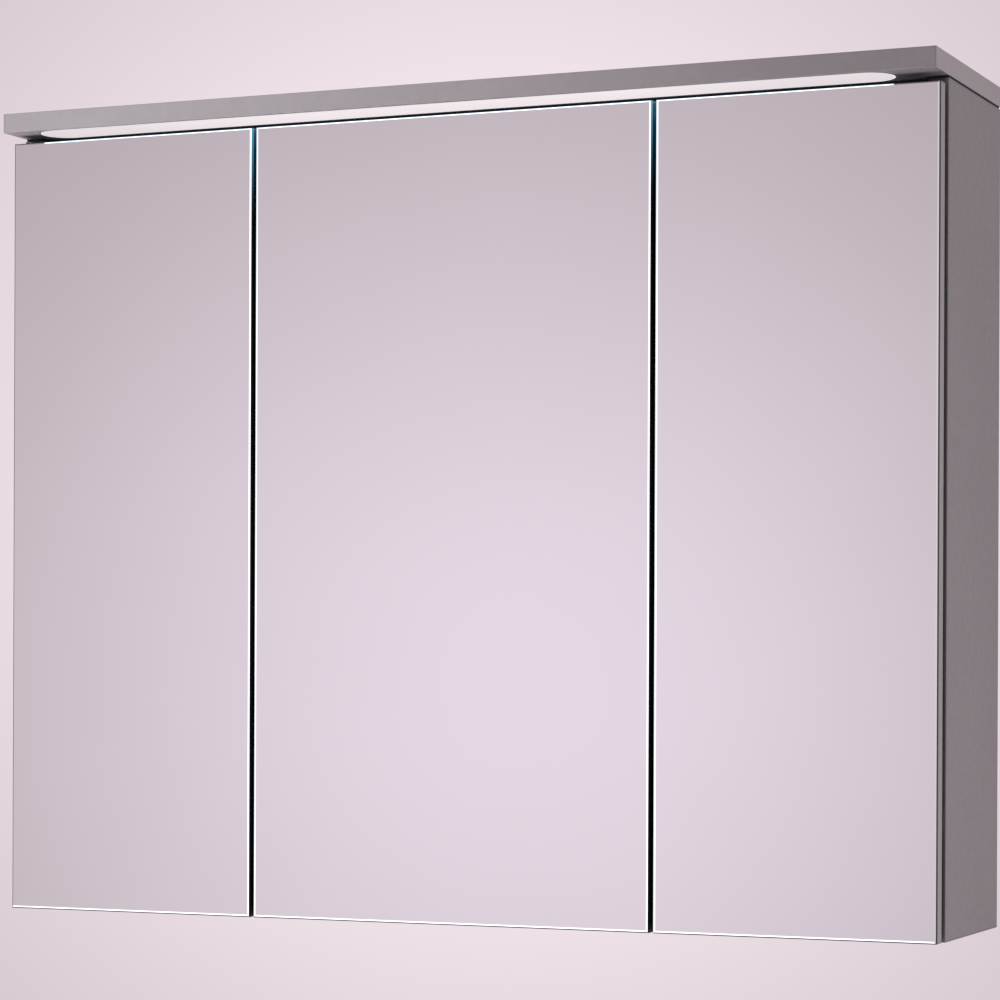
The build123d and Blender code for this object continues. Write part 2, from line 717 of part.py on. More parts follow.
save(switch_frame, "switch_frame")

# the rocker is a shallow V across its pivot, one half pressed in at rest
rocker_half_z = half_switch_z - switch_wall - 3 * rocker_gap
rocker_half_x = half_switch_x - switch_wall - rocker_gap
pin_overhang = 1.4
tilt = radians(rocker_tilt)
tilted = (0, cos(tilt), sin(tilt))
rocker_side = Plane(origin=(switch_x - rocker_half_x, pivot_y, middle_box_z), x_dir=tilted, z_dir=(1, 0, 0))
with BuildPart() as rocker:
    with BuildSketch(rocker_side):
        with BuildLine():
            Polyline(
                (rocker_back, -rocker_half_z * rocker_waist),
                (rocker_end - rocker_lip, -rocker_half_z),
                (-rocker_lip, -rocker_half_z),
                (-rocker_middle, 0),
                (-rocker_lip, rocker_half_z),
                (rocker_end - rocker_lip, rocker_half_z),
                (rocker_back, rocker_half_z * rocker_waist),
                close=True,
            )
        make_face()
    extrude(amount=2 * rocker_half_x)
    pin_start = [(switch_x - rocker_half_x - pin_overhang, pivot_y, middle_box_z)]
    rods(pin_start, rocker_pin_radius, 2 * (rocker_half_x + pin_overhang), (1, 0, 0))
save(rocker, "rocker")

driver_x = (-34, 8)
driver_front_y = back_front_y - 30
driver_top_z = box_z[0] + 26
vent_count = 5
vent_pitch = 6
vent_size = (1.5, 1.6, 16)
with BuildPart() as led_driver:
    block(driver_x, (driver_front_y, back_front_y - box_wall), (box_z[0] + box_wall, driver_top_z))
    chamfer(led_driver.edges().filter_by(Axis.Z), length=2)
    with Locations((sum(driver_x) / 2, driver_front_y, (box_z[0] + box_wall + driver_top_z) / 2)):
        with GridLocations(vent_pitch, 1, vent_count, 1):
            Box(*vent_size, mode=Mode.SUBTRACT)
save(led_driver, "led_driver")

terminal_x = (56, 74)
terminal_front_y = back_front_y - 18
terminal_z = (box_z[0] + box_wall, box_z[0] + 34)
terminal_middle = (sum(terminal_x) / 2, terminal_front_y, sum(terminal_z) / 2)
terminal_pitch = 10
terminal_screw_radius = 2.2
terminal_screw_depth = 5
terminal_groove = (3, 2, 26)
with BuildPart() as terminal_block:
    block(terminal_x, (terminal_front_y, back_front_y - box_wall), terminal_z)
    with Locations(terminal_middle):
        Box(*terminal_groove, mode=Mode.SUBTRACT)
    middle_x, front_y, middle_z = terminal_middle
    screw_tops = [(middle_x, front_y, middle_z + terminal_pitch * step) for step in (-1, 0, 1)]
    rods(screw_tops, terminal_screw_radius, terminal_screw_depth, (0, 1, 0), mode=Mode.SUBTRACT)
save(terminal_block, "terminal_block")

with BuildPart() as cable_grommet:
    length = board + back_thickness + box_wall
    rods([(cable_x, 0, cable_z)], grommet_radius, length, (0, -1, 0))
    rods([(cable_x, -length, cable_z)], grommet_radius + grommet_lip, grommet_lip, (0, -1, 0))
    rods([(cable_x, 0, cable_z)], cable_radius, length + grommet_lip, (0, -1, 0), mode=Mode.SUBTRACT)
save(cable_grommet, "cable_grommet")

# low-voltage lead from the electrics box up and forward to the lamp
lead_start = (0, lamp_rear_y - 2.5, lead_z)
lead_end = (0, lead_y, inner_top_z - 4 * box_wall)
with BuildPart() as led_lead:
    with BuildLine():
        FilletPolyline(lead_start, (0, lead_y, lead_z), lead_end, radius=lead_bend)
    with BuildSketch(Plane(origin=lead_start, z_dir=(0, 1, 0))):
        Circle(lead_radius)
    sweep()
save(led_lead, "led_lead")

# doors
bumper_radius = 4
bumper_height = door_gap_behind - 0.4
bumper_inset = 5
bumper_round = 1.2
bumper_rises = (8, 60)  # above a door's bottom edge and below its top edge
pin_half = 9.9
cup_screw_rise = 19
cup_screw_depth = 8
cup_flange_thickness = 1
cup_flange_rim = 1.2
cup_ear = (12, 2 * (cup_screw_rise + 5))
cup_ear_round = 4
cup_head_radius = 3
cup_head_height = 1.4
for name, (left, right, side) in doors.items():
    free_edge = left if side > 0 else right
    cup_centres = [(hinge_x(name, cup_inset + cup_radius), door_back_y, z) for z in hinge_heights]
    pin_starts = [(hinge_x(name, hinge_pin_u), hinge_y(hinge_pin_v), z - pin_half) for z in hinge_heights]
    rises = (-cup_screw_rise, cup_screw_rise)
    cup_screw_points = [(x, y, z + rise) for x, y, z in cup_centres for rise in rises]

    with BuildPart() as door_panel:
        block((left, right), (mirror_back_y, door_back_y), (bottom_z, door_top_z))
        fillet(door_panel.faces().sort_by(Axis.Y)[-1].edges(), radius=edge_round)
        rods(cup_centres, cup_radius, cup_depth, (0, -1, 0), mode=Mode.SUBTRACT)
        rods(cup_screw_points, small_screw_radius, cup_screw_depth, (0, -1, 0), mode=Mode.SUBTRACT)
        rods(pin_starts, hinge_pin_radius, 2 * pin_half, (0, 0, 1), mode=Mode.SUBTRACT)
    save(door_panel, f"door_board_{name}")

    with BuildPart() as mirror_pane:
        block((left, right), (mirror_front_y, mirror_back_y), (bottom_z, door_top_z))
        chamfer(mirror_pane.faces().sort_by(Axis.Y)[0].edges(), length=mirror_arris)
    save(mirror_pane, f"mirror_{name}")

    with BuildPart() as hinge_cups:
        rods(cup_centres, cup_radius, cup_depth, (0, -1, 0))
        for x, y, z in cup_centres:
            with BuildSketch(Plane(origin=(x, y, z), x_dir=(1, 0, 0), z_dir=(0, 1, 0))):
                Circle(cup_radius + cup_flange_rim)
                RectangleRounded(*cup_ear, cup_ear_round)
            extrude(amount=cup_flange_thickness)
        rims = [(x, y + cup_flange_thickness, z) for x, y, z in cup_centres]
        hollow = cup_depth + cup_flange_thickness - cup_wall
        rods(rims, cup_radius - cup_wall, hollow, (0, -1, 0), mode=Mode.SUBTRACT)
        screw_tops = [(x, y + cup_flange_thickness, z) for x, y, z in cup_screw_points]
        rods(screw_tops, small_screw_radius, cup_flange_thickness, (0, -1, 0), mode=Mode.SUBTRACT)
        rods(pin_starts, hinge_pin_radius, 2 * pin_half, (0, 0, 1), mode=Mode.SUBTRACT)
    save(hinge_cups, f"hinge_cups_{name}")

    with BuildPart() as hinge_pins:
        rods(pin_starts, hinge_pin_radius, 2 * pin_half, (0, 0, 1))
    save(hinge_pins, f"hinge_pins_{name}")

    with BuildPart() as cup_screws:
        bottoms = [(x, y - cup_screw_depth, z) for x, y, z in cup_screw_points]
        rods(bottoms, small_screw_radius, cup_screw_depth + cup_flange_thickness, (0, 1, 0))
        heads = [(x, y + cup_flange_thickness, z) for x, y, z in cup_screw_points]
        rods(heads, cup_head_radius, cup_head_height, (0, 1, 0))
        crosses = [(x, y + cup_head_height, z) for x, y, z in heads]
        with Locations(*crosses):
            Box(driver_slot, 2 * driver_depth, driver_length, mode=Mode.SUBTRACT)
            Box(driver_length, 2 * driver_depth, driver_slot, mode=Mode.SUBTRACT)
    save(cup_screws, f"cup_screws_{name}")

    with BuildPart() as bumpers:
        bumper_levels = (bottom_z + bumper_rises[0], door_top_z - bumper_rises[1])
        points = [(free_edge + side * bumper_inset, door_back_y, z) for z in bumper_levels]
        rods(points, bumper_radius, bumper_height, (0, 1, 0))
        fillet(bumpers.faces().group_by(Axis.Y)[-1].edges(), radius=bumper_round)
    save(bumpers, f"bumpers_{name}")
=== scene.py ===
from math import radians

import bpy
from mathutils import Matrix, Vector


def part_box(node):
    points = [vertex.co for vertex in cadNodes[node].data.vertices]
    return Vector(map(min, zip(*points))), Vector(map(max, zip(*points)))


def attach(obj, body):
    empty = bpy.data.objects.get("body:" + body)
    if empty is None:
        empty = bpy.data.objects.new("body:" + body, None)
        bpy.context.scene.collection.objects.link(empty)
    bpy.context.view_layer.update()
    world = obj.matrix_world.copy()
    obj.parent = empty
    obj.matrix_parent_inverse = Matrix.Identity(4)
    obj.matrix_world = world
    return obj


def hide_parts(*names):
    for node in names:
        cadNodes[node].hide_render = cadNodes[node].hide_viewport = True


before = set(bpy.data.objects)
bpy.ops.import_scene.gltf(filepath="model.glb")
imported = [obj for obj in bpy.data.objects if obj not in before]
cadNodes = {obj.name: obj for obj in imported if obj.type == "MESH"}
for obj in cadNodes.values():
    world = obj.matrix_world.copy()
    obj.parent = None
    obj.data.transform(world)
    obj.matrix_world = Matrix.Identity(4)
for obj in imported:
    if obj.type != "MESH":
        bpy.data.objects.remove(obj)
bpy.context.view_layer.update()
print("frame loaded,", len(cadNodes), "pieces")

millimetre = 0.001


# helpers for materials
def newMaterial(name, roughness, metallic=0.0):
    material = bpy.data.materials.new(name)
    material.use_nodes = True
    tree = material.node_tree
    shader = tree.nodes["Principled BSDF"]
    shader.inputs["Roughness"].default_value = roughness
    shader.inputs["Metallic"].default_value = metallic
    return material, tree, shader


def addNode(tree, kind, **settings):
    node = tree.nodes.new("ShaderNode" + kind)
    for key, value in settings.items():
        setattr(node, key, value)
    return node


def placeOn(tree, stretch=(1, 1, 1)):  # object coordinates, stretched along an axis for grain
    coordinates = addNode(tree, "TexCoord")
    mapping = addNode(tree, "Mapping")
    mapping.inputs["Scale"].default_value = stretch
    tree.links.new(coordinates.outputs["Object"], mapping.inputs["Vector"])
    return mapping.outputs["Vector"]


def addNoise(tree, scale, detail=3.0, stretch=(1, 1, 1), roughness=0.5):
    noise = addNode(tree, "TexNoise")
    noise.inputs["Scale"].default_value = scale
    noise.inputs["Detail"].default_value = detail
    noise.inputs["Roughness"].default_value = roughness
    tree.links.new(placeOn(tree, stretch), noise.inputs["Vector"])
    return noise.outputs["Fac"]


def remap(tree, value, low, high, toLow=0.0, toHigh=1.0, smooth=False):
    ranger = addNode(tree, "MapRange", interpolation_type="SMOOTHSTEP" if smooth else "LINEAR")
    tree.links.new(value, ranger.inputs["Value"])
    for socket, amount in zip(("From Min", "From Max", "To Min", "To Max"), (low, high, toLow, toHigh)):
        ranger.inputs[socket].default_value = amount
    return ranger.outputs["Result"]


def calculate(tree, operation, first, second):
    node = addNode(tree, "Math", operation=operation)
    for socket, value in zip(node.inputs, (first, second)):
        if isinstance(value, (int, float)):
            socket.default_value = value
        else:
            tree.links.new(value, socket)
    return node.outputs[0]


def multiply(tree, first, *others):
    for other in others:
        first = calculate(tree, "MULTIPLY", first, other)
    return first


def distance(tree, value, centre=0.0):
    return calculate(tree, "ABSOLUTE", calculate(tree, "SUBTRACT", value, centre), 0.0)


def mixColours(tree, factor, first, second, blend="MIX"):
    mixer = addNode(tree, "Mix", data_type="RGBA", blend_type=blend)
    for socket, value in ((mixer.inputs[0], factor), (mixer.inputs[6], first), (mixer.inputs[7], second)):
        if isinstance(value, (int, float)):
            socket.default_value = value
        elif isinstance(value, tuple):
            socket.default_value = (*value, 1.0)
        else:
            tree.links.new(value, socket)
    return mixer.outputs[2]


def mixValues(tree, factor, first, second):
    mixer = addNode(tree, "Mix")
    for socket, value in ((mixer.inputs[0], factor), (mixer.inputs[2], first), (mixer.inputs[3], second)):
        if isinstance(value, (int, float)):
            socket.default_value = value
        else:
            tree.links.new(value, socket)
    return mixer.outputs[0]


def addBump(tree, shader, height, depth, strength=1.0):
    bump = addNode(tree, "Bump")
    bump.inputs["Distance"].default_value = depth
    bump.inputs["Strength"].default_value = strength
    tree.links.new(height, bump.inputs["Height"])
    tree.links.new(bump.outputs["Normal"], shader.inputs["Normal"])


def splitPlace(tree, output="Object"):
    coordinates = addNode(tree, "TexCoord")
    parts = addNode(tree, "SeparateXYZ")
    tree.links.new(coordinates.outputs[output], parts.inputs["Vector"])
    return {"x": parts.outputs["X"], "y": parts.outputs["Y"], "z": parts.outputs["Z"]}


def paint(material, *names):
    for name in names:
        mesh = cadNodes[name].data
        mesh.materials.clear()
        mesh.materials.append(material)


# camera
cameraSettings = {
    "place": (1.0354, -2.529, -0.3886),
    "turn": (89.81, -0.222, 23.682),
    "lens": 116.9,
    "shift": (0.05, 0.1677),
}
bpy.ops.object.camera_add(location=cameraSettings["place"])
camera = bpy.context.object
camera.name = "frontCamera"
camera.rotation_euler = [radians(angle) for angle in cameraSettings["turn"]]
camera.data.sensor_width = 36
camera.data.lens = cameraSettings["lens"]
camera.data.shift_x, camera.data.shift_y = cameraSettings["shift"]
camera.data.clip_end = 60
bpy.context.scene.camera = camera
bpy.context.scene.view_settings.view_transform = "Standard"

# surroundings
roomSettings = {
    "wall": (0.392, 0.328, 0.342),
    "backdrop": (0.53, 0.455, 0.49),
    "floorHeight": -1.75,
    "floorSize": 11,
    "floorLight": (0.82, 0.76, 0.79),
    "floorDark": (0.78, 0.72, 0.75),
}
roomGlows = {  # direction, spread and colour of the bright parts of the room
    "softboxInFront": ((-0.381, -0.924, -0.01), 0.20, (0.459, 0.425, 0.498)),
    "windowRight": ((0.913, -0.40, 0.05), 0.30, (0.42, 0.42, 0.45)),
}
backdropGlow = ((-0.386, 0.921, 0.05), 0.20, (0.50, 0.47, 0.49))


def addLobe(tree, coordinates, direction, spread):
    facing = addNode(tree, "VectorMath", operation="DOT_PRODUCT")
    tree.links.new(coordinates, facing.inputs[0])
    facing.inputs[1].default_value = Vector(direction).normalized()
    towards = calculate(tree, "MAXIMUM", facing.outputs["Value"], 0.0)
    away = calculate(tree, "SUBTRACT", 1.0, multiply(tree, towards, towards))
    return calculate(tree, "EXPONENT", calculate(tree, "DIVIDE", away, -spread * spread), 0.0)


def buildSurroundings():
    world = bpy.data.worlds.new("paleRoom")
    world.use_nodes = True
    bpy.context.scene.world = world
    tree = world.node_tree
    place = addNode(tree, "TexCoord").outputs["Generated"]
    room = roomSettings["wall"]
    for direction, spread, colour in roomGlows.values():
        room = mixColours(tree, addLobe(tree, place, direction, spread), room, colour, "ADD")
    direction, spread, colour = backdropGlow
    behind = addLobe(tree, place, direction, spread)
    backdrop = mixColours(tree, behind, roomSettings["backdrop"], colour, "ADD")
    seen = addNode(tree, "LightPath").outputs["Is Camera Ray"]
    tree.links.new(mixColours(tree, seen, room, backdrop), tree.nodes["Background"].inputs["Color"])
    size = roomSettings["floorSize"]
    bpy.ops.mesh.primitive_plane_add(size=size, location=(0, 0, roomSettings["floorHeight"]))
    floor = bpy.context.object
    floor.name = "paleFloor"
    material, floorTree, shader = newMaterial("paleFloor", 0.6)
    grain = remap(floorTree, addNoise(floorTree, 9.0, 6.0), 0.3, 0.7)
    tone = mixColours(floorTree, grain, roomSettings["floorDark"], roomSettings["floorLight"])
    floorTree.links.new(tone, shader.inputs["Base Color"])
    floor.data.materials.append(material)


def addLight(name, kind, place, target, power, colour=(1.0, 0.97, 0.98), mirrored=False, **shape):
    bpy.ops.object.light_add(type=kind, location=place)
    light = bpy.context.object
    light.name = name
    light.data.energy = power
    light.data.color = colour
    for key, value in shape.items():
        setattr(light.data, key, value)
    light.rotation_euler = (Vector(target) - Vector(place)).to_track_quat("-Z", "Y").to_euler()
    light.visible_glossy = mirrored
    light.visible_camera = False
    return light


lensLow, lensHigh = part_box("led_lens")
lensMiddle = (lensLow + lensHigh) / 2
lightSettings = {
    "keyLight": {"kind": "SPOT", "place": (-1.3, -1.6, 0.5), "target": (-0.20, -0.19, 0.05), "power": 82,
                 "spot_size": radians(24.2), "spot_blend": 0.9, "shadow_soft_size": 0.15},
    "lowLeftLight": {"kind": "AREA", "place": (-0.75, -0.45, -0.55), "target": (-0.35, -0.18, 0.04),
                     "power": 2.6, "size": 0.3},
    "sideFill": {"kind": "AREA", "place": (1.5, -0.45, -0.56), "target": (0.4, -0.1, -0.3), "power": 4.1,
                 "size": 0.5},
    "floorBounce": {"kind": "AREA", "place": (-0.25, -0.12, -1.25), "target": (-0.25, -0.12, 0),
                    "power": 3.2, "mirrored": True, "shape": "RECTANGLE", "size": 1.3, "size_y": 0.6},
    "lampGlow": {"kind": "AREA", "place": (lensMiddle.x, lensMiddle.y, lensLow.z - 0.4 * millimetre),
                 "target": (lensMiddle.x, lensMiddle.y, -1), "power": 0.10, "colour": (0.66, 0.93, 1.0),
                 "mirrored": True, "shape": "RECTANGLE", "size": 0.735, "size_y": 0.036},
}

buildSurroundings()
for lightName, settings in lightSettings.items():
    addLight(lightName, **settings)
print("camera, room and lights made")


# boards
boardSettings = {
    "clouds": 7.0,  # sizes of the pattern in the facing, per metre
    "mottle": 95.0,
    "flecks": 900.0,
    "skin": 620.0,
    "skinDepth": 0.03 * millimetre,
    "gloss": (0.36, 0.50),
    "light": (0.416, 0.413, 0.430),
    "dark": (0.397, 0.394, 0.411),
    "sideTone": 0.75,
    "corniceBand": 1.13,  # its end bands are a little paler
    "bandThickness": 1.0 * millimetre,
    "seamWidth": 0.35 * millimetre,
    "edgeGlow": (0.003, 0.040, 0.075),  # cold lamplight between the doors
    "glowReach": 75 * millimetre,
    "seamShade": 0.5,
    "seamColour": (0.05, 0.05, 0.055),
    "creviceShadeReach": 14.0 * millimetre,  # how far the painted shade in gaps and joints reaches on the board
    "corniceShadeReach": 5.0 * millimetre,
}


def paintCreviceShade(tree, tone, depth, floor=0.03):  # painted shade: ambient occlusion darkens the colour in gaps and joints
    shade = addNode(tree, "AmbientOcclusion", samples=6)
    shade.inputs["Distance"].default_value = depth
    clear = remap(tree, shade.outputs["AO"], 0.30, 0.92, floor, 1.0, smooth=True)
    return mixColours(tree, 1.0, tone, greyValue(tree, clear), "MULTIPLY")


def greyValue(tree, value):
    joined = addNode(tree, "CombineXYZ")
    for socket in joined.inputs:
        tree.links.new(value, socket)
    return joined.outputs["Vector"]


def nearLamp(tree, place, top, reach):  # one just under the lamp, fading downwards and past its ends
    down = remap(tree, place["z"], top - reach, top)
    sideways = distance(tree, place["x"], lensMiddle.x)
    halfLens = (lensHigh.x - lensLow.x) / 2
    underLamp = remap(tree, sideways, halfLens - 20 * millimetre, halfLens, 1.0, 0.0)
    return multiply(tree, down, down, underLamp)


def boardMaterial(name, seams, strength, lampTop, creviceShadeReach):
    material, tree, shader = newMaterial(name, 0.42)
    cloudy = addNoise(tree, boardSettings["clouds"], 4.0)
    mottle = addNoise(tree, boardSettings["mottle"], 5.0, roughness=0.65)
    fleck = addNoise(tree, boardSettings["flecks"], 2.0)
    dark = tuple(value * strength for value in boardSettings["dark"])
    light = tuple(value * strength for value in boardSettings["light"])
    tone = mixColours(tree, remap(tree, cloudy, 0.35, 0.65), dark, light)
    tone = mixColours(tree, 0.10, tone, mottle, "OVERLAY")
    tone = mixColours(tree, 0.06, tone, fleck, "OVERLAY")
    height = remap(tree, addNoise(tree, boardSettings["skin"], 3.0), 0.3, 0.7)
    place = splitPlace(tree)
    for axis, value in seams:  # hairline joint where an edge band meets the face
        away = distance(tree, place[axis], value)
        line = remap(tree, away, 0.0, boardSettings["seamWidth"], 1.0, 0.0, smooth=True)
        shade = multiply(tree, line, 1.0 - boardSettings["seamShade"])
        tone = mixColours(tree, shade, tone, boardSettings["seamColour"])
        height = calculate(tree, "SUBTRACT", height, line)
    if name.startswith("cornice"):
        ends = remap(tree, distance(tree, splitPlace(tree, "Normal")["x"]), 0.5, 0.8)
        paler = mixValues(tree, ends, 1.0, boardSettings["corniceBand"])
        tone = mixColours(tree, 1.0, tone, greyValue(tree, paler), "MULTIPLY")
    # painted shade: the board's colour darkens in gaps, joints and recesses
    tone = paintCreviceShade(tree, tone, creviceShadeReach)
    tree.links.new(tone, shader.inputs["Base Color"])
    gloss = remap(tree, addNoise(tree, 160.0, 3.0), 0.3, 0.7, *boardSettings["gloss"])
    tree.links.new(gloss, shader.inputs["Roughness"])
    addBump(tree, shader, height, boardSettings["skinDepth"], 0.35)
    if lampTop is not None:
        sideFace = remap(tree, distance(tree, splitPlace(tree, "Normal")["x"]), 0.5, 0.8)
        glow = multiply(tree, nearLamp(tree, place, lampTop, boardSettings["glowReach"]), sideFace)
        cold = mixColours(tree, glow, (0.0, 0.0, 0.0), boardSettings["edgeGlow"])
        tree.links.new(cold, shader.inputs["Emission Color"])
        shader.inputs["Emission Strength"].default_value = 1.0
    return material


def bandSeams(name, axes):
    low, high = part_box(name)
    seams = []
    for axis, ends in axes.items():
        index = "xyz".index(axis)
        if "low" in ends:
            seams.append((axis, low[index] + boardSettings["bandThickness"]))
        if "high" in ends:
            seams.append((axis, high[index] - boardSettings["bandThickness"]))
    return seams


boardBands = {
    "cornice_board": {"x": ("low", "high"), "y": ("low",)},
    "side_panel_left": {"y": ("low", "high"), "z": ("low", "high")},
    "side_panel_right": {"y": ("low", "high"), "z": ("low", "high")},
    "bottom_panel": {"y": ("low",)},
    "top_panel": {"y": ("low",)},
    "divider_left": {"y": ("low",)},
    "divider_right": {"y": ("low",)},
    "door_board_left": {"x": ("low", "high"), "z": ("low", "high")},
    "door_board_centre": {"x": ("low", "high"), "z": ("low", "high")},
    "door_board_right": {"x": ("low", "high"), "z": ("low", "high")},
    "top_rail": {},
    "bottom_rail": {},
}
for boardName, bands in boardBands.items():
    strength = boardSettings["sideTone"] if boardName.startswith("side") else 1.0
    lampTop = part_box(boardName)[1].z if boardName.startswith("door") else None
    creviceShadeReach = boardSettings["corniceShadeReach" if boardName == "cornice_board" else "creviceShadeReach"]
    seams = bandSeams(boardName, bands)
    paint(boardMaterial(boardName + "Finish", seams, strength, lampTop, creviceShadeReach), boardName)


def hardboardMaterial():
    material, tree, shader = newMaterial("hardboardFinish", 0.5)
    facing = splitPlace(tree, "Normal")["y"]
    rear = remap(tree, facing, 0.4, 0.6)
    fibres = addNoise(tree, 380.0, 5.0, (1, 1, 2.5), 0.65)
    raw = mixColours(tree, remap(tree, fibres, 0.3, 0.7), (0.20, 0.125, 0.07), (0.33, 0.215, 0.13))
    cloudy = remap(tree, addNoise(tree, 7.0), 0.35, 0.65)
    faced = mixColours(tree, cloudy, boardSettings["dark"], boardSettings["light"])
    tree.links.new(mixColours(tree, rear, faced, raw), shader.inputs["Base Color"])
    tree.links.new(remap(tree, rear, 0.0, 1.0, 0.45, 0.75), shader.inputs["Roughness"])
    addBump(tree, shader, fibres, 0.05 * millimetre, 0.5)
    return material


paint(hardboardMaterial(), "back_panel")
print("boards finished")

# mirrors
mirrorSettings = {
    "silver": (0.912, 0.915, 0.922),
    "silverDark": (0.897, 0.900, 0.907),
    "arris": (0.96, 0.97, 0.97),
    "arrisWidth": 1.4 * millimetre,
    "lowerShadowLine": 0.4 * millimetre,  # the painted shadow line reaches further up the arris along the bottom
    "arrisBright": 0.9 * millimetre,  # behind this depth the arris is painted dark, a painted shadow line along the pane's edges
    "edge": (0.018, 0.030, 0.033),
    "edgeGlow": (0.004, 0.060, 0.11),  # lamplight carried down inside the glass
    "sideGlow": (0.09, 0.33, 0.48),
    "glowReach": 80 * millimetre,
    "gapGlow": (0.86, 0.90, 0.96),  # light caught on the arrises between the doors
    "middle": (0.20, 0.21),  # the gaps between the doors lie within this of the middle
    "outerLeft": (-0.39, -0.395),  # the cabinet's own left edge, where the arris stays dark
    "gapLine": 0.8 * millimetre,  # width of the same light on the face beside them
}


def mirrorMaterial():
    material, tree, shader = newMaterial("silverMirror", 0.012, 1.0)
    low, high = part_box("mirror_centre")
    place = splitPlace(tree)
    normal = splitPlace(tree, "Normal")
    facing = distance(tree, normal["y"])
    onFace = remap(tree, facing, 0.9, 0.95)
    onSlope = remap(tree, facing, 0.3, 0.5)
    facesLeft = remap(tree, normal["x"], -0.5, -0.6)
    facesRight = remap(tree, normal["x"], 0.5, 0.6)
    facesDown = remap(tree, normal["z"], -0.5, -0.6)
    depth = calculate(tree, "SUBTRACT", place["y"], low.y)
    depth = calculate(tree, "ADD", depth, multiply(tree, facesDown, mirrorSettings["lowerShadowLine"]))
    shadowLineStart = mirrorSettings["arrisBright"]
    # painted shadow line: the arris keeps its light colour only in front of this depth
    aheadOfShadowLine = remap(tree, depth, shadowLineStart, shadowLineStart + 0.1 * millimetre, 1.0, 0.0)
    waver = addNoise(tree, 5.0, 2.0)
    silver = mixColours(
        tree, remap(tree, waver, 0.3, 0.7), mirrorSettings["silverDark"], mirrorSettings["silver"]
    )
    outerLeft = multiply(tree, facesLeft, remap(tree, place["x"], *mirrorSettings["outerLeft"]))
    onArris = multiply(tree, onSlope, aheadOfShadowLine, calculate(tree, "SUBTRACT", 1.0, outerLeft))
    rim = mixColours(tree, onArris, mirrorSettings["edge"], mirrorSettings["arris"])
    tree.links.new(mixColours(tree, onFace, rim, silver), shader.inputs["Base Color"])
    ground = remap(tree, addNoise(tree, 1400.0, 2.0), 0.3, 0.7, 0.1, 0.2)
    tree.links.new(mixValues(tree, onFace, ground, 0.012), shader.inputs["Roughness"])
    tree.links.new(onArris, shader.inputs["Metallic"])
    shader.inputs["Specular IOR Level"].default_value = 0.12
    glow = nearLamp(tree, place, high.z, mirrorSettings["glowReach"])
    glow = multiply(tree, glow, calculate(tree, "SUBTRACT", 1.0, onArris))
    sideways = remap(tree, distance(tree, normal["x"]), 0.5, 0.6)
    cold = mixColours(tree, sideways, mirrorSettings["edgeGlow"], mirrorSettings["sideGlow"])
    shine = mixColours(tree, glow, (0.0, 0.0, 0.0), cold)
    middleStart, middleEnd = mirrorSettings["middle"]
    pastStart = remap(tree, place["x"], -middleEnd, -middleStart)
    beforeEnd = remap(tree, place["x"], middleStart, middleEnd, 1.0, 0.0)
    leftArris = multiply(tree, facesLeft, onSlope, pastStart)
    rightArris = multiply(tree, facesRight, onSlope, beforeEnd, aheadOfShadowLine)
    caught = calculate(tree, "MAXIMUM", leftArris, rightArris)
    edges = [("x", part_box(paneName)[0].x) for paneName in ("mirror_centre", "mirror_right")]
    for axis, value in edges + [("z", low.z)]:
        start = value + mirrorSettings["arrisWidth"]
        away = distance(tree, place[axis], start)
        line = remap(tree, away, mirrorSettings["gapLine"] * 0.6, mirrorSettings["gapLine"], 1.0, 0.0)
        caught = calculate(tree, "MAXIMUM", caught, multiply(tree, line, onFace))
    shine = mixColours(tree, caught, shine, mirrorSettings["gapGlow"])
    tree.links.new(shine, shader.inputs["Emission Color"])
    shader.inputs["Emission Strength"].default_value = 1.0
    return material


paint(mirrorMaterial(), "mirror_left", "mirror_centre", "mirror_right")
print("mirrors finished")


# glass shelves
def shelfMaterial():
    material, tree, shader = newMaterial("shelfGlass", 0.02)
    facing = distance(tree, splitPlace(tree, "Normal")["z"])
    tint = mixColours(tree, remap(tree, facing, 0.3, 0.9), (0.42, 0.72, 0.64), (0.93, 0.975, 0.96))
    tree.links.new(tint, shader.inputs["Base Color"])
    shader.inputs["IOR"].default_value = 1.5
    shader.inputs["Transmission Weight"].default_value = 1.0
    ground = remap(tree, addNoise(tree, 1200.0, 2.0), 0.3, 0.7, 0.15, 0.3)
    tree.links.new(mixValues(tree, remap(tree, facing, 0.3, 0.9), ground, 0.02), shader.inputs["Roughness"])
    return material


paint(shelfMaterial(), "shelves_left", "shelves_centre", "shelves_right")


# lamp lens
lensSettings = {
    "colour": (0.845, 0.765, 0.79),
    "rim": (1.0, 0.97, 1.0),
    "rimWidth": 1.3 * millimetre,
    "rimFull": 0.5 * millimetre,
    "rimReach": 90 * millimetre,
    "endTone": 0.89,  # the lamp is a little dimmer near its ends
    "endReach": 220 * millimetre,
    "endMargin": 40 * millimetre,
}


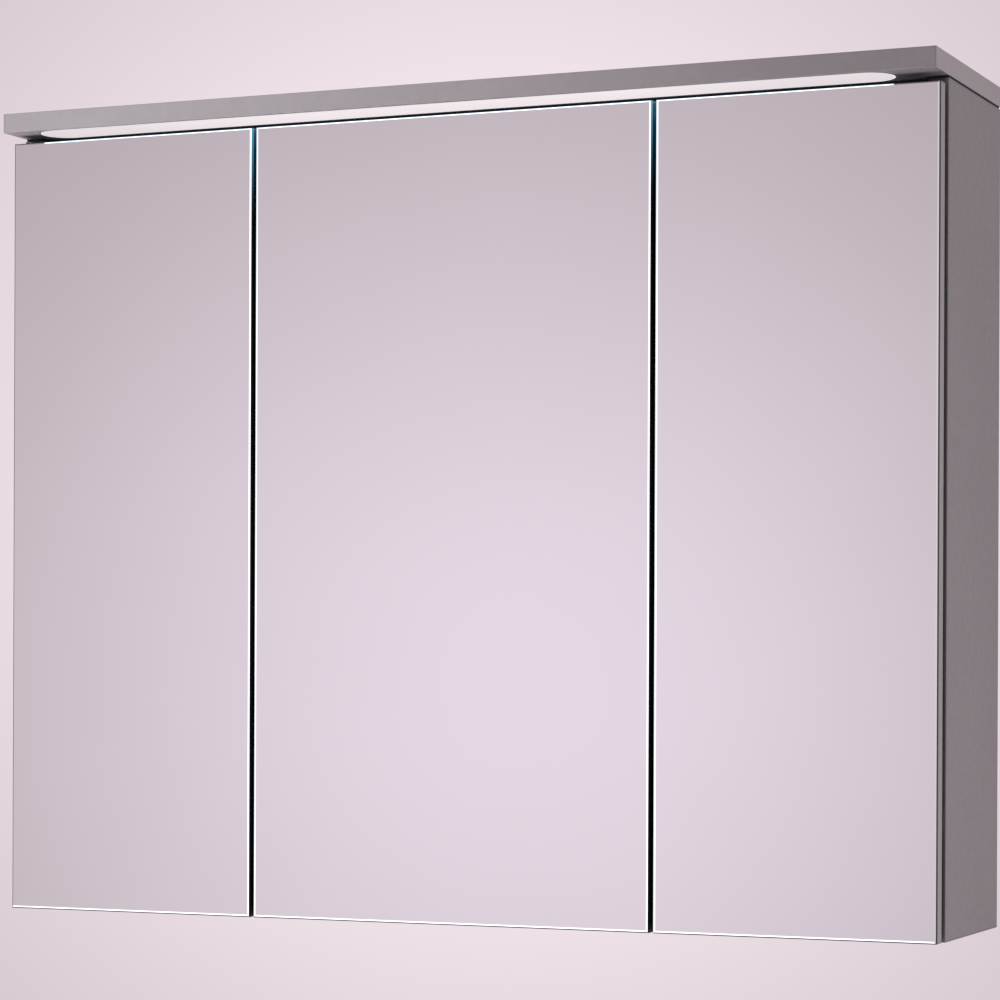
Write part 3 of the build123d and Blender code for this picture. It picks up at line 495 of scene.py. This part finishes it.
def lensMaterial():
    material, tree, shader = newMaterial("litLens", 0.35)
    shader.inputs["Base Color"].default_value = (0.04, 0.04, 0.04, 1)
    place = splitPlace(tree)
    halfLength = (lensHigh.x - lensLow.x) / 2
    halfWidth = (lensHigh.y - lensLow.y) / 2
    along = distance(tree, place["x"], lensMiddle.x)
    across = calculate(tree, "SUBTRACT", place["y"], lensMiddle.y)
    beyond = calculate(tree, "MAXIMUM", calculate(tree, "SUBTRACT", along, halfLength - halfWidth), 0.0)
    squares = [multiply(tree, value, value) for value in (beyond, across)]
    fromMiddle = calculate(tree, "SQRT", calculate(tree, "ADD", *squares), 0.0)
    rimStart = halfWidth - lensSettings["rimWidth"]
    rim = remap(tree, fromMiddle, rimStart, halfWidth - lensSettings["rimFull"], smooth=True)
    fadeStart = halfLength - lensSettings["endReach"]
    fadeEnd = halfLength - lensSettings["endMargin"]
    fall = remap(tree, along, fadeStart, fadeEnd, 1.0, lensSettings["endTone"], smooth=True)
    cloudy = remap(tree, addNoise(tree, 40.0, 2.0), 0.3, 0.7, 0.985, 1.0)
    glow = mixColours(tree, multiply(tree, fall, cloudy), (0.0, 0.0, 0.0), lensSettings["colour"])
    nearEnd = remap(tree, along, halfLength - lensSettings["rimReach"], halfLength - halfWidth)
    glow = mixColours(tree, multiply(tree, rim, nearEnd), glow, lensSettings["rim"])
    tree.links.new(glow, shader.inputs["Emission Color"])
    shader.inputs["Emission Strength"].default_value = 1.0
    return material


# metals, plastics, wood and the lamp's circuit board
def metalMaterial(name, light, dark, roughness, stretch=(1, 1, 1), scale=300.0, depth=0.01):
    material, tree, shader = newMaterial(name, roughness, 1.0)
    streaks = addNoise(tree, scale, 4.0, stretch)
    tone = mixColours(tree, remap(tree, streaks, 0.3, 0.7), dark, light)
    tree.links.new(tone, shader.inputs["Base Color"])
    gloss = remap(tree, streaks, 0.3, 0.7, roughness * 1.25, roughness * 0.8)
    tree.links.new(gloss, shader.inputs["Roughness"])
    addBump(tree, shader, streaks, depth * millimetre, 0.4)
    return material


def mouldedMaterial(name, light, dark, roughness, scale=700.0, depth=0.02, soft=0.0):
    material, tree, shader = newMaterial(name, roughness)
    cloudy = addNoise(tree, 22.0, 3.0)
    grain = addNoise(tree, scale, 3.0)
    tone = mixColours(tree, remap(tree, cloudy, 0.3, 0.7), dark, light)
    tree.links.new(tone, shader.inputs["Base Color"])
    gloss = remap(tree, grain, 0.3, 0.7, roughness * 0.85, roughness * 1.2)
    tree.links.new(gloss, shader.inputs["Roughness"])
    shader.inputs["Subsurface Weight"].default_value = soft
    shader.inputs["Subsurface Scale"].default_value = 0.002
    addBump(tree, shader, grain, depth * millimetre, 0.4)
    return material


def beechMaterial():
    material, tree, shader = newMaterial("beech", 0.6)
    grain = addNoise(tree, 60.0, 5.0, (1, 6, 6))
    pores = addNoise(tree, 800.0, 2.0, (0.15, 1, 1))
    tone = mixColours(tree, remap(tree, grain, 0.3, 0.7), (0.44, 0.27, 0.14), (0.62, 0.42, 0.24))
    tone = mixColours(tree, remap(tree, pores, 0.6, 0.75), tone, (0.28, 0.16, 0.08))
    tree.links.new(tone, shader.inputs["Base Color"])
    addBump(tree, shader, pores, 0.05 * millimetre, 0.5)
    return material


circuitSettings = {
    "coating": (0.80, 0.81, 0.79),
    "track": (0.70, 0.68, 0.60),
    "trackEdges": (4.0 * millimetre, 6.0 * millimetre),  # from the board's middle line
    "trackBlur": 0.4 * millimetre,
    "trackRise": 0.03 * millimetre,
}


def circuitMaterial():
    material, tree, shader = newMaterial("circuitBoard", 0.35)
    low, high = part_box("led_board")
    place = splitPlace(tree)
    middle = (low.y + high.y) / 2
    away = distance(tree, place["y"], middle)
    inner, outer = circuitSettings["trackEdges"]
    blur = circuitSettings["trackBlur"]
    pastInner = remap(tree, away, inner, inner + blur)
    track = multiply(tree, pastInner, remap(tree, away, outer - blur, outer, 1.0, 0.0))
    tone = mixColours(tree, track, circuitSettings["coating"], circuitSettings["track"])
    tree.links.new(tone, shader.inputs["Base Color"])
    addBump(tree, shader, track, circuitSettings["trackRise"])
    return material


nickel = metalMaterial("nickelPlate", (0.72, 0.70, 0.67), (0.58, 0.56, 0.53), 0.22)
zinc = metalMaterial("zincPlate", (0.60, 0.62, 0.65), (0.44, 0.46, 0.50), 0.34, scale=120.0)
anodised = metalMaterial("anodisedTray", (0.80, 0.81, 0.83), (0.68, 0.69, 0.71), 0.3, (0.02, 1, 1), 500.0)
whitePlastic = mouldedMaterial("whitePlastic", (0.80, 0.795, 0.785), (0.76, 0.755, 0.745), 0.32, soft=0.05)
greyPlastic = mouldedMaterial("greyPlastic", (0.26, 0.265, 0.275), (0.22, 0.225, 0.235), 0.45)
# the strip's blue-green tint is painted: it stands in for the cold lamplight in the gap under the lens
darkStrip = mouldedMaterial("darkStrip", (0.010, 0.024, 0.029), (0.007, 0.017, 0.021), 0.6)
blackRubber = mouldedMaterial("blackRubber", (0.02, 0.02, 0.02), (0.012, 0.012, 0.012), 0.65, 900.0, 0.04)
clearRubber = mouldedMaterial("clearRubber", (0.66, 0.68, 0.67), (0.58, 0.60, 0.59), 0.3, soft=0.4)
leadSheath = mouldedMaterial("leadSheath", (0.72, 0.72, 0.70), (0.66, 0.66, 0.64), 0.5)
phosphor = mouldedMaterial("phosphor", (0.85, 0.70, 0.18), (0.75, 0.60, 0.12), 0.3)

paint(lensMaterial(), "led_lens")
paint(anodised, "led_tray")
paint(circuitMaterial(), "led_board")
paint(phosphor, "led_chips")
paint(leadSheath, "led_lead")
paint(darkStrip, "shadow_strip")
paint(nickel, "hinge_plates", "hinge_arms", "hinge_screws", "latch_screws")
paint(zinc, "fixing_bushes", "shelf_pins", "cam_housings", "cam_bolts", "divider_screws")
paint(beechMaterial(), "dowels")
paint(greyPlastic, "latch_bodies", "terminal_block")
paint(whitePlastic, "electrics_box", "electrics_cover", "socket_insert", "switch_frame")
paint(whitePlastic, "led_driver", "rocker")
paint(blackRubber, "cable_grommet")
for door in ("left", "centre", "right"):
    paint(nickel, "hinge_cups_" + door, "hinge_pins_" + door, "cup_screws_" + door)
    paint(clearRubber, "bumpers_" + door)
    paint(greyPlastic, "latch_plunger_" + door)
print("lamp, fittings and electrics finished")


# choosing faces, edges and points of the piece being modelled
def choose(kind, chosen):
    bpy.ops.object.mode_set(mode="EDIT")
    bpy.ops.mesh.select_mode(type=kind)
    bpy.ops.mesh.select_all(action="DESELECT")
    bpy.ops.object.mode_set(mode="OBJECT")
    for element in chosen():
        element.select = True
    bpy.ops.object.mode_set(mode="EDIT")


def chooseFaces(piece, test):
    choose("FACE", lambda: [face for face in piece.data.polygons if test(face)])


def choosePoints(piece, test):
    choose("VERT", lambda: [point for point in piece.data.vertices if test(point.co)])


def middleOf(piece, edge):
    start, end = (piece.data.vertices[index].co for index in edge.vertices)
    return (start + end) / 2


def chooseEdges(piece, test):
    choose("EDGE", lambda: [edge for edge in piece.data.edges if test(middleOf(piece, edge))])


# soft bumpers on the doors' free edges, crowned where they meet the carcass
bumperSettings = {
    "segments": 32,
    "rings": 16,
    "foot": 0.9 * millimetre,
}


def makeBumper(low, high):
    radius = (high.x - low.x) / 2
    footTop = Vector((low.x + radius, low.y + bumperSettings["foot"], low.z + radius))
    bpy.ops.mesh.primitive_uv_sphere_add(
        segments=bumperSettings["segments"], ring_count=bumperSettings["rings"], radius=radius,
        location=footTop, rotation=(radians(-90), 0, 0),
    )
    bumper = bpy.context.object
    bpy.ops.object.transform_apply(location=True, rotation=True, scale=True)
    bpy.ops.object.mode_set(mode="EDIT")
    bpy.ops.mesh.select_all(action="SELECT")
    bpy.ops.mesh.bisect(plane_co=footTop, plane_no=(0, 1, 0), use_fill=True, clear_inner=True)
    bpy.ops.mesh.select_all(action="SELECT")
    crown = (high.y - footTop.y) / radius
    bpy.ops.transform.resize(value=(1, crown, 1), center_override=footTop)
    chooseFaces(bumper, lambda polygon: polygon.normal.y < -0.9)
    bpy.ops.mesh.extrude_region_move(TRANSFORM_OT_translate={"value": (0, low.y - footTop.y, 0)})
    bpy.ops.mesh.select_all(action="SELECT")
    bpy.ops.mesh.normals_make_consistent(inside=False)
    bpy.ops.object.mode_set(mode="OBJECT")
    bpy.ops.object.shade_smooth_by_angle(angle=radians(40))
    bumper.data.materials.append(clearRubber)
    return bumper


def copyPiece(source, shift):
    piece = source.copy()
    piece.data = source.data.copy()
    bpy.context.collection.objects.link(piece)
    piece.data.transform(Matrix.Translation(shift))
    return piece


def joinPieces(pieces, name):
    bpy.ops.object.select_all(action="DESELECT")
    for piece in pieces:
        piece.select_set(True)
    bpy.context.view_layer.objects.active = pieces[0]
    bpy.ops.object.join()
    pieces[0].name = name
    return pieces[0]


bpy.ops.object.select_all(action="DESELECT")
firstLow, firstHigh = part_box("bumpers_left")
firstBumper = makeBumper(firstLow, firstHigh)
for door in ("left", "centre", "right"):
    low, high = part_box("bumpers_" + door)
    toLower = low - firstLow
    toUpper = toLower + Vector((0, 0, (high.z - low.z) - (high.x - low.x)))
    pair = [copyPiece(firstBumper, toLower), copyPiece(firstBumper, toUpper)]
    bumperPair = joinPieces(pair, "bumperDomes_" + door)
    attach(bumperPair, "door_" + door)
    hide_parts("bumpers_" + door)
bpy.data.objects.remove(firstBumper)
print("bumpers made")

# rubber grommet that lines the cable entry
grommetSettings = {
    "bore": 4.5 * millimetre,
    "neck": 7.0 * millimetre,
    "lip": 2.0 * millimetre,
    "round": 0.85 * millimetre,
    "roundSegments": 5,
    "steps": 48,
    "small": 0.1 * millimetre,
}


def makeGrommet():
    low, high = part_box("cable_grommet")
    centre = (low + high) / 2
    bore, neck, lip, small = (grommetSettings[key] for key in ("bore", "neck", "lip", "small"))
    neckEnd = low.y + lip
    length = high.y - neckEnd
    wallMiddle = (centre.x + (bore + neck) / 2, high.y - length / 2, centre.z)
    bpy.ops.mesh.primitive_plane_add(size=1, location=wallMiddle)
    grommet = bpy.context.object
    grommet.name = "mouldedGrommet"
    grommet.scale = (neck - bore, length, 1)
    bpy.ops.object.transform_apply(location=True, rotation=True, scale=True)
    chooseEdges(grommet, lambda middle: middle.y < neckEnd + small)
    bpy.ops.mesh.extrude_region_move(TRANSFORM_OT_translate={"value": (0, -lip, 0)})
    chooseEdges(grommet, lambda middle: middle.x > centre.x + neck - small and middle.y < neckEnd)
    bpy.ops.mesh.extrude_region_move(TRANSFORM_OT_translate={"value": (high.x - centre.x - neck, 0, 0)})
    bpy.ops.mesh.select_all(action="SELECT")
    bpy.ops.mesh.dissolve_faces()
    bpy.ops.mesh.select_all(action="SELECT")
    bpy.ops.mesh.delete(type="ONLY_FACE")
    choosePoints(grommet, lambda point: point.y < neckEnd - small or point.y > high.y - small)
    bpy.ops.mesh.bevel(
        offset=grommetSettings["round"], segments=grommetSettings["roundSegments"], affect="VERTICES"
    )
    bpy.ops.mesh.select_all(action="SELECT")
    bpy.ops.mesh.spin(steps=grommetSettings["steps"], angle=radians(360), center=centre, axis=(0, 1, 0))
    bpy.ops.mesh.select_all(action="SELECT")
    bpy.ops.mesh.remove_doubles(threshold=0.00001)
    bpy.ops.mesh.normals_make_consistent(inside=False)
    bpy.ops.object.mode_set(mode="OBJECT")
    bpy.ops.object.shade_smooth_by_angle(angle=radians(40))
    grommet.data.materials.append(blackRubber)
    return grommet


bpy.ops.object.select_all(action="DESELECT")
grommet = makeGrommet()
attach(grommet, "cabinet")
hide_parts("cable_grommet")
print("grommet made,", len(grommet.data.polygons), "faces")
